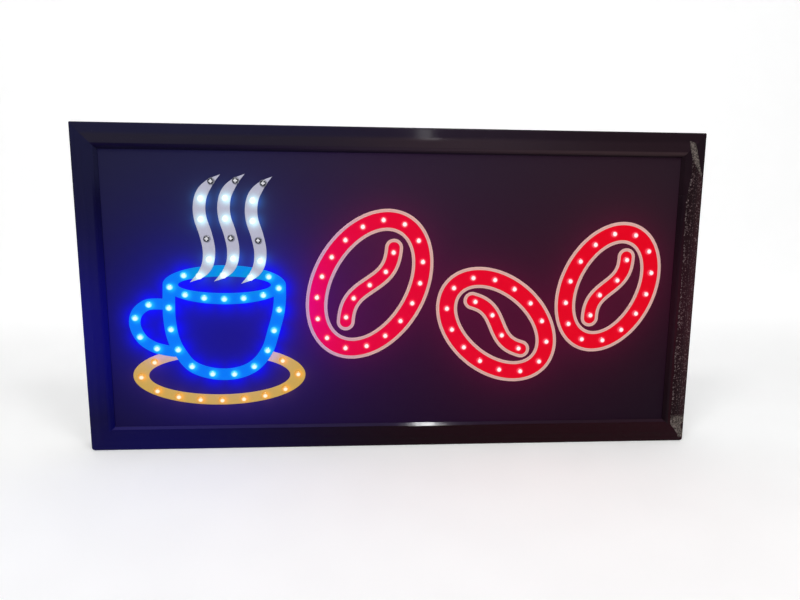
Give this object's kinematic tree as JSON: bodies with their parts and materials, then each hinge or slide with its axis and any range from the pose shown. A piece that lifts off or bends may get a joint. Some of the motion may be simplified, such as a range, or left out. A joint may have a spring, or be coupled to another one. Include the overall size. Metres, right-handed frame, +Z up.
{
  "type": "illuminated sign",
  "caption": "Shallow framed sign with small lamps shining through a drilled panel along coloured figures of a cup, steam, a saucer and coffee beans; side switch, rear hangers.",
  "frame": {"origin": "middle of the bottom of the whole sign's box, the side switch's knob included", "axes": "+Z up, the lamps face -Y, +X to the right of someone who looks at the front"},
  "size_m": [0.4832, 0.022, 0.25],
  "materials": {
    "frame": "glossy moulded plastic",
    "panel": "matt sheet",
    "cover": "moulded, fine texture",
    "steel": "plated",
    "knob": "moulded",
    "inlet": "moulded",
    "board": "glass-fibre board",
    "package": "moulded package",
    "capacitor": "sleeved can",
    "header": "moulded",
    "lead": "insulated wire",
    "steam_film": "printed film",
    "cup_film": "printed film",
    "saucer_film": "printed film",
    "red_film": "printed film",
    "white_lamp": "clear moulded lens, lit",
    "blue_lamp": "clear moulded lens, lit",
    "amber_lamp": "clear moulded lens, lit",
    "red_lamp": "clear moulded lens, lit"
  },
  "bodies": {
    "sign_body": {"front_frame": "frame", "sign_panel": "panel", "back_cover": "cover", "switch_housing": "steel", "inlet_socket": "inlet", "controller_board": "board", "flasher_chip": "package", "capacitor": "capacitor", "lead_header": "header", "steam_left_film": "steam_film", "steam_left_lamps": "white_lamp", "steam_left_lead": "lead", "steam_middle_film": "steam_film", "steam_middle_lamps": "white_lamp", "steam_middle_lead": "lead", "steam_right_film": "steam_film", "steam_right_lamps": "white_lamp", "steam_right_lead": "lead", "cup_film": "cup_film", "cup_lamps": "blue_lamp", "cup_lead": "lead", "saucer_film": "saucer_film", "saucer_lamps": "amber_lamp", "saucer_lead": "lead", "large_bean_film": "red_film", "large_bean_crease_film": "red_film", "large_bean_lamps": "red_lamp", "large_bean_lead": "lead", "low_bean_film": "red_film", "low_bean_crease_film": "red_film", "low_bean_lamps": "red_lamp", "low_bean_lead": "lead", "high_bean_film": "red_film", "high_bean_crease_film": "red_film", "high_bean_lamps": "red_lamp", "high_bean_lead": "lead", "switch_lead": "lead", "inlet_lead": "lead", "white_transistor": "package", "blue_transistor": "package", "red_transistor": "package", "board_screw_1": "steel", "board_screw_2": "steel", "cover_screw_1": "steel", "cover_screw_2": "steel", "cover_screw_3": "steel", "cover_screw_4": "steel", "cover_screw_5": "steel", "cover_screw_6": "steel", "hanger_rivet_1": "steel", "hanger_rivet_2": "steel", "hanger_rivet_3": "steel", "hanger_rivet_4": "steel", "left_hanger": "steel", "right_hanger": "steel"},
    "switch_knob": {"switch_slider": "knob"}
  },
  "joints": [
    {"name": "switch_slide", "type": "slide", "parent": "sign_body", "child": "switch_knob", "axis": [0, 0, 1], "range_m": [-0.002, 0.002]}
  ]
}
